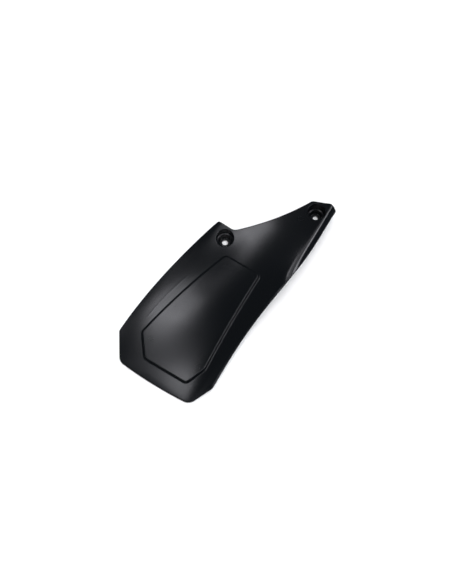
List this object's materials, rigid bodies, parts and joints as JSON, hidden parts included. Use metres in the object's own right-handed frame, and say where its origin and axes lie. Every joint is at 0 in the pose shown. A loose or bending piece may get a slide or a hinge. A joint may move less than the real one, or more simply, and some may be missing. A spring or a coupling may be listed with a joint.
{
  "type": "motorcycle shock mud flap",
  "caption": "Dished plastic mud flap for a motorcycle's rear shock, with a raised six-sided panel, a folded edge and deep stepped cups for its fixing screws.",
  "frame": {"origin": "on the axis of the lower screw hole, at the foot of its cup", "axes": "+Z out of the dished face along the screws, +Y up the flap's length to its narrow end, +X across to the folded edge"},
  "size_m": [0.124, 0.2742, 0.0185],
  "materials": {
    "black_plastic": "satin black moulded plastic, dyed through"
  },
  "bodies": {
    "root": {"mud_flap": "black_plastic"}
  },
  "joints": []
}
